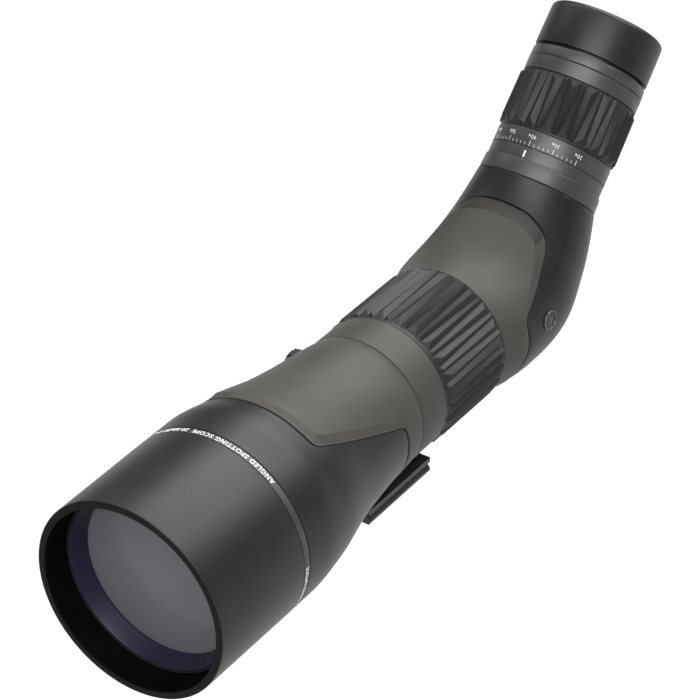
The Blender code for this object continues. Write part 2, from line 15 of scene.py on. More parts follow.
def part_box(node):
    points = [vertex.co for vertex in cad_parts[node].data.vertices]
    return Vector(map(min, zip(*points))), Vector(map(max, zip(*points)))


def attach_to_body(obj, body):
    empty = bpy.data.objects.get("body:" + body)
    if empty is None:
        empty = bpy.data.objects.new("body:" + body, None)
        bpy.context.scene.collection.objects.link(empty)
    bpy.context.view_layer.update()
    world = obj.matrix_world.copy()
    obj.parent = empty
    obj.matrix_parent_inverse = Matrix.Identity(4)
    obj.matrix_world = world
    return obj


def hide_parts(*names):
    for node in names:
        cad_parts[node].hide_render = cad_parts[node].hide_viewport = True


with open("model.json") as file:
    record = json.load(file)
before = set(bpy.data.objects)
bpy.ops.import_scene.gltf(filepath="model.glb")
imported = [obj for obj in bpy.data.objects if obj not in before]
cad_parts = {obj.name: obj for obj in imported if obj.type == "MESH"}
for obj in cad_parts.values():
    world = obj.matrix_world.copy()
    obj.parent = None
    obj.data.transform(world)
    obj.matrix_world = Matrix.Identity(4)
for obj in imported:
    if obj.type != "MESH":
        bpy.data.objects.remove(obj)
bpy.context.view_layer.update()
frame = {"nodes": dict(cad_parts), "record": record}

MM = 0.001

# ---- places read from the frame ------------------------------------------------------

HOOD_LOW, HOOD_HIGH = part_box("sunshade")
FRONT_Y = HOOD_LOW[1] / MM
AXIS_Z = (HOOD_LOW[2] + HOOD_HIGH[2]) / 2 / MM
TILT = math.radians(45)     # of the eyepiece's axis
BEND = 288.3                # s where the two axes meet

TUBE = Matrix.Translation((0, FRONT_Y * MM, AXIS_Z * MM)) @ Matrix.Rotation(-math.pi / 2, 4, "X")
EYE = (Matrix.Translation((0, (FRONT_Y + BEND) * MM, AXIS_Z * MM))
       @ Matrix.Rotation(TILT - math.pi / 2, 4, "X"))

# ---- outlines, in millimetres --------------------------------------------------------

ROUND = 168                 # facets round a turned piece
SKIN = 2.0                  # thickness of the armour and of the panels
SKIN_CREASE = 40            # a skin's edges are crisp from this angle on
EDGE_LIFT = 0.15            # how far the panels' edges stand over the armour
BEVEL_ROWS = 7              # steps across the bevel along a panel's edge
BEVEL_SHARE = 0.86          # share of a bevel over which it comes down to its edge
SIDE_FADE = 22              # degrees over which a panel gets lower on the scope's sides

# A BELL row is (s, radius).  The EDGE line is where a panel ends, and the CREST line is where its
# bevel starts: a row is (angle, place).  A panel stands PROUD of the armour; it loses a share of
# that on the scope's sides, from an angle on.
BELL = [(64.3, 48.7), (78, 48.65), (86, 48.1), (94, 47.1), (102, 45.8), (112, 43.5), (122, 41.1),
        (132, 39.3), (145, 37.5), (160, 35.9), (173.8, 34.7)]
BELL_FRONT, BELL_END = 64.15, 173.9
BELL_SEAM = 0.7             # between the armour and the panel's edge
SWELL_START, SWELL = 82, 12  # the bell's layers part from here on, over this length
BELL_EDGE = [(0, 94.8), (25, 95.0), (36, 95.4), (39.3, 96.3), (41.3, 98.2), (43.6, 102.4),
             (48, 111), (55, 125), (63, 139.5), (69, 150.5), (72.5, 156.5), (75, 158.9), (79, 160.0),
             (86, 160.6), (104, 161.3), (180, 162)]
BELL_CREST = [(0, 98.2), (25, 98.9), (33, 99.9), (36, 101), (38, 103.5), (40, 107.8), (45, 118.5),
              (54, 135.5), (62, 149.5), (66.5, 156.5), (69, 158.9), (73, 160.3), (80, 161.2),
              (104, 162.2), (180, 163)]
BELL_PROUD = (0.7, 0.75, 58)

# The housing bends along a curve on which the place runs from 0 at the focus ring to 1 at the
# eyepiece.  An ELBOW row is (place, half height, half width, how far the middle is under the curve).
ELBOW = [(0.0, 33.6, 33.6, 0.0), (0.25, 35.6, 37.6, 4.4), (0.5, 37.4, 38.6, 7.6),
         (0.75, 34.6, 35.1, 5.0), (1.0, 30.2, 30.2, 0.0)]
ELBOW_BEFORE, ELBOW_AFTER = 44.6, 51.8      # lengths before and after the bend
ELBOW_PULL = 0.62           # how near the curve's handles come to the bend
ELBOW_SEAM = 0.009          # between the panel's edge and the armour, as a share of the curve
ELBOW_EDGE = [(0, 0.80), (22, 0.79), (33, 0.762), (40, 0.735), (44, 0.705), (47, 0.65), (50, 0.54),
              (57, 0.40), (64, 0.283), (68, 0.232), (73, 0.213), (90, 0.19), (111, 0.15),
              (131, 0.135), (180, 0.13)]
ELBOW_CREST = [(0, 0.708), (20, 0.693), (31, 0.667), (36, 0.645), (39, 0.60), (47, 0.43), (55, 0.31),
               (61, 0.235), (66, 0.206), (76, 0.185), (90, 0.168), (111, 0.13), (131, 0.117),
               (180, 0.112)]
ELBOW_PROUD = (1.75, 0.8, 62)
HOUSING_ROWS = 20           # steps along the housing's panel, up to its crest


# ---- maths ---------------------------------------------------------------------------

def interpolate(table, x, column=1):
    """Smooth value of a table at x, with no overshoot."""
    last = len(table) - 1
    if x <= table[0][0]:
        return table[0][column]
    if x >= table[last][0]:
        return table[last][column]
    low = max(i for i in range(last) if table[i][0] <= x)

    def slope(i):
        if i in (0, last):
            return None
        before = (table[i][column] - table[i - 1][column]) / (table[i][0] - table[i - 1][0])
        after = (table[i + 1][column] - table[i][column]) / (table[i + 1][0] - table[i][0])
        return 0.0 if before * after <= 0 else 2 * before * after / (before + after)

    step = table[low + 1][0] - table[low][0]
    rise = (table[low + 1][column] - table[low][column]) / step
    start, stop = slope(low), slope(low + 1)
    start = rise if start is None else start
    stop = rise if stop is None else stop
    u = (x - table[low][0]) / step
    return (table[low][column] * (1 + 2 * u) * (1 - u) ** 2 + step * start * u * (1 - u) ** 2
            + table[low + 1][column] * u * u * (3 - 2 * u) + step * stop * u * u * (u - 1))


def polar(s, radius, degrees):
    """Point on the frame of an axis, whose Z runs along it and whose -Y is up."""
    angle = math.radians(degrees)
    return Vector((radius * math.sin(angle), -radius * math.cos(angle), s))


def ease(u):
    u = min(max(u, 0), 1)
    return u * u * (3 - 2 * u)


def fold(degrees):
    """The same angle on the scope's +X half, from 0 to 180."""
    return min(degrees % 360, 360 - degrees % 360)


def fillet(outline, steps=4):
    """Round the corners of a closed outline of (s, radius, rounding)."""
    points = []
    count = len(outline)
    for i, (s, r, rounding) in enumerate(outline):
        here = Vector((s, r))
        before = Vector(outline[i - 1][:2]) - here
        after = Vector(outline[(i + 1) % count][:2]) - here
        if not rounding:
            points.append((s, r))
            continue
        half = before.angle(after) / 2
        reach = min(rounding / math.tan(half), before.length * 0.49, after.length * 0.49)
        first, last = here + before.normalized() * reach, here + after.normalized() * reach
        for k in range(steps + 1):
            u = k / steps
            spot = first * (1 - u) ** 2 + here * 2 * u * (1 - u) + last * u * u
            points.append((spot.x, spot.y))
    return points


# ---- meshes --------------------------------------------------------------------------

def add_mesh(name, points, faces, place, material, sharp=32.0):
    """An object from points in millimetres; its edges are crisp from the sharp angle on."""
    mesh = bpy.data.meshes.new(name)
    mesh.from_pydata([Vector(p) * MM for p in points], [], faces)
    work = bmesh.new()
    work.from_mesh(mesh)
    bmesh.ops.recalc_face_normals(work, faces=work.faces)
    work.to_mesh(mesh)
    work.free()
    mesh.shade_smooth()
    mesh.set_sharp_from_angle(angle=math.radians(sharp))
    mesh.materials.append(material)
    piece = bpy.data.objects.new(name, mesh)
    piece.matrix_world = place
    bpy.context.collection.objects.link(piece)
    return piece


def wrap_sections(name, sections, place, material, sharp=32.0):
    """A closed wall through sections of points, one after the other round the scope."""
    rows, count = len(sections[0]), len(sections)
    points = [p for section in sections for p in section]
    faces = []
    for i in range(count):
        j = (i + 1) % count
        for k in range(rows):
            m = (k + 1) % rows
            faces.append((i * rows + k, j * rows + k, j * rows + m, i * rows + m))
    return add_mesh(name, points, faces, place, material, sharp)


def crease(piece, rows, lines):
    """Keep the edges along some rows of a wrapped piece crisp."""
    for edge in piece.data.edges:
        first, second = edge.vertices
        if first % rows == second % rows and first % rows in lines:
            edge.use_edge_sharp = True
    return piece


def turned(name, outline, place, material, sides=ROUND, sharp=32.0):
    """Turn a closed outline of (s, radius, rounding) that stays off the axis."""
    flat = fillet(outline)
    sections = [[polar(s, r, 360 * i / sides) for s, r in flat] for i in range(sides)]
    return wrap_sections(name, sections, place, material, sharp)


def turned_solid(name, outline, place, material, sides=ROUND, sharp=32.0):
    """Turn an open outline of (s, radius) whose ends are on the axis."""
    middle = outline[1:-1]
    rows = len(middle)
    points = [polar(s, r, 360 * i / sides) for i in range(sides) for s, r in middle]
    first, last = len(points), len(points) + 1
    points += [Vector((0, 0, outline[0][0])), Vector((0, 0, outline[-1][0]))]
    faces = []
    for i in range(sides):
        j = (i + 1) % sides
        faces.append((first, i * rows, j * rows))
        faces.append((last, j * rows + rows - 1, i * rows + rows - 1))
        for k in range(rows - 1):
            faces.append((i * rows + k, j * rows + k, j * rows + k + 1, i * rows + k + 1))
    return add_mesh(name, points, faces, place, material, sharp)


def attach(piece, body, slot, *nodes):
    """Let a piece ride on a body in place of the CAD nodes that it stands for, which are hidden; slot
    is not used.
    """
    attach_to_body(piece, body)
    if nodes:
        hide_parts(*nodes)
    return piece


# ---- materials -----------------------------------------------------------------------

class Shade:
    """A node material: a Principled shader with mottled colour and roughness and a fine bump.

    A keyword names a socket of the shader, with _ for a space.
    """

    def __init__(self, name, roughness, metallic=0.0, **sockets):
        self.material = bpy.data.materials.new(name)
        self.material.use_nodes = True
        self.tree = self.material.node_tree
        self.shader = self.tree.nodes["Principled BSDF"]
        self.shader.inputs["Roughness"].default_value = roughness
        self.shader.inputs["Metallic"].default_value = metallic
        for socket, value in sockets.items():
            self.shader.inputs[socket.replace("_", " ")].default_value = value
        self.place = self.node("ShaderNodeTexCoord").outputs["Object"]
        self.height = None

    def node(self, kind, **values):
        made = self.tree.nodes.new(kind)
        for key, value in values.items():
            setattr(made, key, value)
        return made

    def link(self, out, into):
        self.tree.links.new(out, into)

    def noise(self, scale, detail=3.0, stretch=(1, 1, 1)):
        mapping = self.node("ShaderNodeMapping")
        mapping.inputs["Scale"].default_value = stretch
        self.link(self.place, mapping.inputs["Vector"])
        noise = self.node("ShaderNodeTexNoise")
        noise.inputs["Scale"].default_value = scale
        noise.inputs["Detail"].default_value = detail
        self.link(mapping.outputs["Vector"], noise.inputs["Vector"])
        return noise.outputs["Fac"]

    def spread(self, factor, low, high, start=0.3, stop=0.7):
        """Map a factor onto a range of plain values."""
        remap = self.node("ShaderNodeMapRange")
        remap.inputs["From Min"].default_value = start
        remap.inputs["From Max"].default_value = stop
        remap.inputs["To Min"].default_value = low
        remap.inputs["To Max"].default_value = high
        self.link(factor, remap.inputs["Value"])
        return remap.outputs["Result"]

    def colour(self, factor, dark, light, start=0.35, stop=0.65):
        ramp = self.node("ShaderNodeValToRGB")
        ramp.color_ramp.elements[0].position = start
        ramp.color_ramp.elements[0].color = (*dark, 1)
        ramp.color_ramp.elements[1].position = stop
        ramp.color_ramp.elements[1].color = (*light, 1)
        self.link(factor, ramp.inputs["Fac"])
        self.link(ramp.outputs["Color"], self.shader.inputs["Base Color"])

    def roughness(self, factor, low, high):
        self.link(self.spread(factor, low, high), self.shader.inputs["Roughness"])

    def bump(self, factor, strength, distance):
        """Add a layer of relief; distance is in millimetres."""
        bump = self.node("ShaderNodeBump")
        bump.inputs["Strength"].default_value = strength
        bump.inputs["Distance"].default_value = distance * MM
        self.link(factor, bump.inputs["Height"])
        if self.height:
            self.link(self.height, bump.inputs["Normal"])
        self.height = bump.outputs["Normal"]
        self.link(self.height, self.shader.inputs["Normal"])

    def lathe_lines(self, strength, distance, scale=900):
        """Fine turning marks: noise that changes along the axis and hardly round it."""
        self.bump(self.noise(scale, 2.0, (0.02, 0.02, 1)), strength, distance)


def tone(level, *colour):
    return tuple(level * value for value in colour)


def make_armour(name, level, specular):
    shade = Shade(name, 0.42, Specular_IOR_Level=specular)
    shade.colour(shade.noise(60), tone(level, 0.0088, 0.0088, 0.0086),
                 tone(level, 0.0108, 0.0108, 0.0106))
    shade.roughness(shade.noise(1400, 4), 0.38, 0.46)
    shade.bump(shade.noise(2600, 2), 0.22, 0.05)
    shade.bump(shade.noise(1100, 3), 0.10, 0.03)
    return shade.material


def make_olive(name, level, specular):
    shade = Shade(name, 0.53, Specular_IOR_Level=specular)
    shade.colour(shade.noise(45), tone(level, 0.0330, 0.0320, 0.0284),
                 tone(level, 0.0390, 0.0378, 0.0336))
    shade.roughness(shade.noise(1500, 4), 0.49, 0.57)
    shade.bump(shade.noise(3200, 2), 0.16, 0.04)
    return shade.material


def make_grip():
    """Rubber with fine grain that shows on the ridges."""
    shade = Shade("ribbed_grip_rubber", 0.5, Specular_IOR_Level=0.26)
    shade.colour(shade.noise(700), (0.0078, 0.0078, 0.0079), (0.0112, 0.0112, 0.0114))
    shade.roughness(shade.noise(1600, 4), 0.47, 0.57)
    shade.bump(shade.noise(2200, 3), 0.25, 0.05)
    return shade.material


def make_eyecup_rubber():
    shade = Shade("eyecup_rubber", 0.42, Specular_IOR_Level=0.25)
    shade.colour(shade.noise(70), (0.0085, 0.0085, 0.0087), (0.0105, 0.0105, 0.0107))
    shade.roughness(shade.noise(1500, 4), 0.38, 0.46)
    shade.bump(shade.noise(2800, 2), 0.2, 0.04)
    return shade.material


def make_ring_metal():
    shade = Shade("satin_ring_metal", 0.4, metallic=0.5, Specular_IOR_Level=0.34)
    shade.colour(shade.noise(110), (0.046, 0.045, 0.044), (0.055, 0.054, 0.052))
    shade.roughness(shade.noise(300, 3, (0.05, 0.05, 1)), 0.38, 0.48)
    shade.lathe_lines(0.16, 0.02)
    return shade.material


def make_black_metal():
    shade = Shade("black_anodised_metal", 0.42, metallic=0.3, Specular_IOR_Level=0.3)
    shade.colour(shade.noise(120), (0.019, 0.019, 0.019), (0.025, 0.025, 0.025))
    shade.roughness(shade.noise(300, 3), 0.34, 0.46)
    shade.lathe_lines(0.2, 0.03)
    return shade.material


def make_chassis():
    shade = Shade("cast_chassis_metal", 0.6, metallic=0.4)
    shade.colour(shade.noise(150), (0.006, 0.006, 0.006), (0.010, 0.010, 0.010))
    shade.bump(shade.noise(900, 4), 0.3, 0.05)
    return shade.material


def make_flat_black():
    """The matt black lining inside the sunshade."""
    shade = Shade("matt_lining", 0.8, Specular_IOR_Level=0.03)
    shade.colour(shade.noise(200), (0.0008, 0.0008, 0.0009), (0.0014, 0.0014, 0.0015))
    shade.bump(shade.noise(1500, 2), 0.3, 0.05)
    return shade.material


def make_coated_ring():
    shade = Shade("violet_coated_ring", 0.34, metallic=0.2, Specular_IOR_Level=0.35)
    shade.colour(shade.noise(12, 1), (0.012, 0.0095, 0.023), (0.018, 0.0145, 0.033), 0.25, 0.75)
    shade.lathe_lines(0.1, 0.02)
    return shade.material


def make_lens_glass():
    """Multi-coated glass: a grey violet body under a thin clear gloss, with a faint grey violet glow
    that paints an even reflection of bright surroundings onto the lens.
    """
    # The emission is a painted glow: it stands for light reflected off the lens and lights it evenly
    # inside the sunshade's shade.
    shade = Shade("coated_objective_glass_painted_glow", 0.5, IOR=1.5, Specular_IOR_Level=0.2, Coat_Weight=0.1,
                  Emission_Strength=0.048)
    shade.shader.inputs["Emission Color"].default_value = (0.93, 0.91, 1.0, 1)
    shade.shader.inputs["Coat Roughness"].default_value = 0.06
    shade.colour(shade.noise(9, 1), (0.045, 0.044, 0.050), (0.055, 0.054, 0.060), 0.2, 0.8)
    return shade.material


def make_eye_glass():
    shade = Shade("coated_eye_glass", 0.08, IOR=1.5, Specular_IOR_Level=0.25)
    shade.colour(shade.noise(30, 1), (0.006, 0.009, 0.014), (0.012, 0.014, 0.024), 0.2, 0.8)
    return shade.material


def make_print(name, level):
    shade = Shade(name, 0.5)
    shade.colour(shade.noise(900), tone(level, 0.62, 0.62, 0.61), tone(level, 0.74, 0.74, 0.73))
    return shade.material


def make_steel(name, level):
    shade = Shade(name, 0.3, metallic=1.0)
    shade.colour(shade.noise(200), tone(level, 0.30, 0.30, 0.31), tone(level, 0.40, 0.40, 0.41))
    shade.lathe_lines(0.3, 0.03)
    return shade.material


def make_seal():
    shade = Shade("black_seal", 0.7)
    shade.colour(shade.noise(200), (0.01, 0.01, 0.01), (0.016, 0.016, 0.016))
    return shade.material


ARMOUR = make_armour("moulded_armour", 0.95, 0.22)
RIM = make_armour("moulded_rim", 0.35, 0.06)
GRIP = make_grip()
EYECUP = make_eyecup_rubber()
OLIVE = make_olive("olive_finish", 1.0, 0.20)
# A darker copy of the olive: painted shade for the bevel across the top of the housing's panel.
OLIVE_PAINTED_SHADE = make_olive("olive_with_painted_shade", 0.55, 0.14)
RING = make_ring_metal()
BLACK = make_black_metal()
CHASSIS = make_chassis()
LINING = make_flat_black()
COATED = make_coated_ring()
OBJECTIVE = make_lens_glass()
EYE_GLASS = make_eye_glass()
STEEL = make_steel("screw_steel", 1.0)
DARK_STEEL = make_steel("dark_steel", 0.42)
SEAL = make_seal()
PRINT = make_print("white_print", 1.0)
FAINT_PRINT = make_print("grey_print", 0.75)


def finish_frame():
    """Give every carried-over CAD node its procedural material."""
    by_slot = {"black_armour": ARMOUR, "olive_paint": OLIVE, "grip_rubber": GRIP,
               "eyecup_rubber": EYECUP, "ring_metal": RING, "black_anodised": BLACK,
               "chassis_metal": CHASSIS, "screw_steel": STEEL, "seal_rubber": SEAL,
               "coated_ring": COATED, "optical_glass": EYE_GLASS}
    for part in frame["record"]["subparts"]:
        node = frame["nodes"][part["node"]]
        node.data.materials.clear()
        node.data.materials.append(by_slot[part["material_slot"]])
    for name in ("objective_front_lens", "objective_rear_lens"):
        frame["nodes"][name].data.materials.clear()
        frame["nodes"][name].data.materials.append(OBJECTIVE)


# ---- sunshade and objective ----------------------------------------------------------

def make_sunshade():
    """The sunshade: armour outside, a darker front rim, a matt lining and the printed ring."""
    hood = turned("sunshade_tube", [(0, 45.3, 0.2), (0, 48.4, 0.3), (0.4, 48.8, 0.5),
                                    (59.7, 48.8, 0.25), (59.7, 47.1, 0), (63.8, 47.1, 0),
                                    (63.8, 44.9, 0), (0.6, 44.9, 0.3)], TUBE, ARMOUR)
    hood.data.materials.append(LINING)
    hood.data.materials.append(RIM)
    lining_radius, rim_depth = 45.25, 0.1
    for face in hood.data.polygons:
        if math.hypot(face.center.x, face.center.y) < lining_radius * MM:
            face.material_index = 1
        elif face.center.z < rim_depth * MM:
            face.material_index = 2
    attach(hood, "sunshade", "black_armour", "sunshade")
    radius, middle = 48.72, 61.95
    ring = turned("sunshade_label_ring", [(60.1, 47.3, 0), (60.1, radius, 0.15),
                                          (63.7, radius, 0.25), (63.7, 47.3, 0)], TUBE, RING)
    attach(ring, "sunshade", "ring_metal", "sunshade_trim_ring")
    wrap_text("sunshade_label", "ANGLED SPOTTING SCOPE  20-60x80 mm", 2.35, TUBE, radius, middle,
              40.3, "sunshade", spacing=1.1)
    wrap_text("sunshade_side_label", "COATED OPTICS", 2.1, TUBE, radius, middle, 118, "sunshade")


def sag(radius, curve):
    """How far a spherical face has fallen back at a radius."""
    return curve - math.sqrt(curve * curve - radius * radius)


def make_objective():
    """The objective's cell, its coated ring and the domed front lens."""
    cell = turned("objective_cell_tube", [(14.2, 43.7, 0), (14.2, 44.5, 0.3), (62.6, 44.5, 0.15),
                                          (62.6, 44.2, 0), (63.8, 44.2, 0), (63.8, 44.5, 0.15),
                                          (66.0, 44.5, 0), (66.0, 43.0, 0), (49.6, 41.5, 0),
                                          (49.6, 39.4, 0), (46.6, 39.4, 0), (46.6, 43.7, 0)],
                  TUBE, BLACK)
    attach(cell, "scope_body", "black_anodised", "objective_cell")
    ring = turned("objective_bezel", [(14.2, 42.5, 0.15), (14.2, 43.4, 0), (23.3, 43.4, 0),
                                      (23.3, 40.0, 0), (22.3, 40.0, 0.2)], TUBE, COATED)
    attach(ring, "scope_body", "coated_ring", "objective_retaining_ring")
    steps, rim, curve, rim_place, thickness = 14, 43.3, 240.0, 24.3, 7.5
    front = rim_place - sag(rim, curve)
    outline = [(front + sag(rim * i / steps, curve), rim * i / steps) for i in range(steps + 1)]
    outline += [(front + thickness, rim), (front + thickness, 0)]
    lens = turned_solid("objective_lens_front", outline, TUBE, OBJECTIVE)
    attach(lens, "scope_body", "optical_glass", "objective_front_lens")


# ---- lettering -----------------------------------------------------------------------

CAPITAL_SHARE = 0.69        # height of a capital in a font of size 1
PRINT_LIFT = 0.015          # from the surface to the middle of the print


def wrap_text(name, text, capital, place, radius, s_middle, start, body, spacing=1.0, ink=PRINT):
    """Print with capitals of a given height, which reads from behind the scope.

    White print runs on from its start angle; grey print is lighter in weight and centred on it.
    """
    size = capital / CAPITAL_SHARE
    curve = bpy.data.curves.new(name + "_font", "FONT")
    curve.body = text
    curve.size = size
    curve.space_character = spacing
    curve.resolution_u = 3
    curve.extrude = 0.02
    curve.offset = 0.008 * size if ink is PRINT else -0.004 * size
    curve.align_x = "LEFT" if ink is PRINT else "CENTER"
    source = bpy.data.objects.new(name + "_font", curve)
    bpy.context.collection.objects.link(source)
    shape = source.evaluated_get(bpy.context.evaluated_depsgraph_get()).to_mesh()
    points = []
    for vertex in shape.vertices:
        x, y, z = vertex.co
        angle = start - math.degrees(x / radius)
        points.append(polar(s_middle + capital / 2 - y, radius + PRINT_LIFT + z, angle))
    faces = [tuple(face.vertices) for face in shape.polygons]
    source.to_mesh_clear()
    bpy.data.objects.remove(source, do_unlink=True)
    print_piece = add_mesh(name, points, faces, place, ink, 20)
    work = bmesh.new()
    work.from_mesh(print_piece.data)
    bmesh.ops.remove_doubles(work, verts=work.verts, dist=1e-7)
    bmesh.ops.recalc_face_normals(work, faces=work.faces)
    work.to_mesh(print_piece.data)
    work.free()
    return attach(print_piece, body, "ring_metal")


def printed_bars(name, bars, place, radius, body, ink=PRINT):
    """Small printed bars, each (angle, width, first s, last s), sunk into the surface."""
    depth, height = 0.05, 0.03
    sides = ((0, 1, 2, 3), (7, 6, 5, 4), (0, 4, 5, 1), (1, 5, 6, 2), (2, 6, 7, 3), (3, 7, 4, 0))
    points, faces = [], []
    for angle, width, low, high in bars:
        half = math.degrees(width / 2 / radius)
        base = len(points)
        for r in (radius - depth, radius + height):
            points += [polar(low, r, angle - half), polar(low, r, angle + half),
                       polar(high, r, angle + half), polar(high, r, angle - half)]
        faces += [tuple(base + i for i in face) for face in sides]
    return attach(add_mesh(name, points, faces, place, ink, 20), body, "ring_metal")


# ---- bell ----------------------------------------------------------------------------

def faded(proud, degrees):
    """Height of a panel at an angle, from its (height, share lost, angle where that starts)."""
    height, loss, start = proud
    return height * (1 - loss * ease((fold(degrees) - start) / SIDE_FADE))


def bevel_drop(u):
    """Share of a panel's height left at u, from its crest at 0 to its edge at 1."""
    return 1 - min(u / BEVEL_SHARE, 1)


def bell_radius(s, proud):
    return interpolate(BELL, s) + proud * ease((s - SWELL_START) / SWELL)


def spread_angles(breaks):
    """Angles round the scope, from (first, last, count) runs over one half and mirrored."""
    half = []
    for first, last, count in breaks:
        half += [first + (last - first) * i / count for i in range(count)]
    half.append(180.0)
    return half + [-a for a in reversed(half[1:-1])]


def bell_armour_section(degrees):
    """Cross-section of the bell's armour at an angle, from the sunshade to the panel's edge."""
    proud = faded(BELL_PROUD, degrees)
    last = interpolate(BELL_EDGE, fold(degrees)) - BELL_SEAM
    first, waist, steps = 64.4, 80, 30
    run = last - 0.3 - first
    outer = [polar(BELL_FRONT, BELL[0][1] - 0.3, degrees)]
    for i in range(steps + 1):
        s = first + run * i / steps
        outer.append(polar(s, bell_radius(s, -proud), degrees))
    outer.append(polar(last, bell_radius(last, -proud) - 0.25, degrees))
    return outer + [polar(last, bell_radius(last, 0) - SKIN, degrees),
                    polar(waist, bell_radius(waist, 0) - SKIN, degrees),
                    polar(BELL_FRONT, 46.5, degrees)]


def bell_panel_section(degrees):
    """Cross-section of the bell's panel at an angle, from its edge to the collar."""
    proud = faded(BELL_PROUD, degrees)
    edge = interpolate(BELL_EDGE, fold(degrees))
    crest = interpolate(BELL_CREST, fold(degrees))
    end_radius = interpolate(BELL, BELL_END)
    low = min(EDGE_LIFT - proud, 0)
    outer = [polar(edge, bell_radius(edge, -proud) - 0.8, degrees)]
    for i in range(BEVEL_ROWS + 1):
        s = edge + (crest - edge) * i / BEVEL_ROWS
        lift = low + (proud - low) * bevel_drop(1 - i / BEVEL_ROWS)
        outer.append(polar(s, bell_radius(s, 0) + lift, degrees))
    steps = 14
    for i in range(1, steps + 1):
        s = crest + (BELL_END - 0.25 - crest) * i / steps
        outer.append(polar(s, bell_radius(s, proud * min((BELL_END - s) / SWELL, 1)), degrees))
    outer.append(polar(BELL_END, end_radius - 0.25, degrees))
    return outer + [polar(BELL_END, end_radius - SKIN, degrees),
                    polar(edge, bell_radius(edge, 0) - SKIN, degrees)]


def make_bell():
    angles = spread_angles([(0, 30, 15), (30, 52, 44), (52, 64, 16), (64, 84, 44), (84, 110, 16),
                            (110, 180, 28)])
    armour = [bell_armour_section(degrees) for degrees in angles]
    panel = [bell_panel_section(degrees) for degrees in angles]
    attach(wrap_sections("bell_armour_skin", armour, TUBE, ARMOUR, SKIN_CREASE), "scope_body",
           "black_armour", "bell_armour")
    skin = wrap_sections("bell_panel_skin", panel, TUBE, OLIVE, SKIN_CREASE)
    crest_row = BEVEL_ROWS + 1
    attach(crease(skin, len(panel[0]), (crest_row,)), "scope_body", "olive_paint", "bell_panel")


# ---- ribbed grips --------------------------------------------------------------------

def make_grip_piece(name, place, pairs, first, stations, radii, widths, hips, body, node):
    """A rubber grip of roof-shaped ridges.

    Ridges taper: one is wide in front and narrow behind, and its neighbour is the other way
    round.  A wide end is cut by a sloping hip, a narrow end by a short one.  Stations are the
    grip's first and last s.  Radii are of the grooves, the crests and the bore, and how far a crest
    falls towards the back.  Widths are in degrees.  Hips gives, for the front and the back, how far
    the hip stays from the end and how long it is.
    """
    start, stop = stations
    base, crest, bore, crest_fall = radii
    wide, narrow = widths
    (front_inset, front_hip), (back_inset, back_hip) = hips
    pitch = 180.0 / pairs
    cuts, parts = 7, 6
    short = 1.2
    front = [start + front_inset + front_hip * i / cuts for i in range(cuts + 1)]
    back = [stop - back_inset - back_hip * i / cuts for i in reversed(range(cuts + 1))]
    middle = [front[-1] + (back[0] - front[-1]) * i / parts for i in range(1, parts)]
    rows = [start + 0.15] + front + middle + back + [stop - 0.1]

    def half_width(ridge, s):
        u = (s - start) / (stop - start)
        in_front, behind = (wide, narrow) if ridge % 2 == 0 else (narrow, wide)
        return (in_front + (behind - in_front) * u) / 2

    def height(ridge, s, across):
        """Across is 0 in the groove and 1 on the crest."""
        front_run, back_run = (front_hip, short) if ridge % 2 == 0 else (short, back_hip)
        ends = min((s - start - front_inset) / front_run, (stop - back_inset - s) / back_run)
        return max(min(across, ends), 0.0)

    sections = []
    for ridge in range(2 * pairs):
        centre = first + pitch * ridge
        for k in range(-cuts, cuts):
            across = 1 - abs(k) / cuts
            plain = centre + pitch * 0.5 * k / cuts
            outer = [polar(start, base - 0.3, plain)]
            for s in rows:
                rise = crest - crest_fall * (s - start) / (stop - start) - base
                degrees = centre + half_width(ridge, s) * k / cuts
                outer.append(polar(s, base + rise * height(ridge, s, across), degrees))
            outer.append(polar(stop, base - 0.3, plain))
            sections.append(outer + [polar(stop, bore, plain), polar(start, bore, plain)])
    piece = wrap_sections(name, sections, place, GRIP, sharp=13)
    return attach(piece, body, "grip_rubber", node)


def make_focus():
    make_grip_piece("focus_grip_ribs", TUBE, pairs=24, first=36.8, stations=(193.9, 243.25),
                    radii=(34.1, 35.55, 33.5, 0.0), widths=(9.7, 5.3),
                    hips=((2.0, 4.3), (0.3, 2.8)), body="focus_ring", node="focus_grip")


# ---- prism housing -------------------------------------------------------------------

def elbow_middle(t):
    """Place and heading, at t, of the curve that the housing bends along."""
    start = Vector((BEND - ELBOW_BEFORE, 0))
    corner = Vector((BEND, 0))
    stop = corner + ELBOW_AFTER * Vector((math.cos(TILT), math.sin(TILT)))
    first, second = start.lerp(corner, ELBOW_PULL), stop.lerp(corner, ELBOW_PULL)
    place = ((1 - t) ** 3 * start + 3 * (1 - t) ** 2 * t * first
             + 3 * (1 - t) * t * t * second + t ** 3 * stop)
    run = (1 - t) ** 2 * (first - start) + 2 * (1 - t) * t * (second - first) + t * t * (stop - second)
    return place, math.atan2(run.y, run.x)


def elbow_point(t, degrees, proud=0.0):
    """Point on the housing's oval outside, or proud of it."""
    place, heading = elbow_middle(t)
    up = Vector((-math.sin(heading), math.cos(heading)))
    angle = math.radians(degrees)
    height = interpolate(ELBOW, t, 1) + proud
    width = interpolate(ELBOW, t, 2) + proud
    spot = place + up * (height * math.cos(angle) - interpolate(ELBOW, t, 3))
    return Vector((width * math.sin(angle), -spot.y, spot.x))


def housing_armour_section(degrees):
    """Cross-section of the housing's armour at an angle, from the panel's edge to the eyepiece."""
    first = interpolate(ELBOW_EDGE, fold(degrees)) + ELBOW_SEAM
    inset, steps = 0.004, 34
    run = 1 - inset - first - inset
    outer = [elbow_point(first, degrees, -0.3)]
    outer += [elbow_point(first + inset + run * i / steps, degrees) for i in range(steps + 1)]
    outer.append(elbow_point(1.0, degrees, -0.3))
    return outer + [elbow_point(1.0, degrees, -SKIN), elbow_point((first + 1) / 2, degrees, -SKIN),
                    elbow_point(first, degrees, -SKIN)]


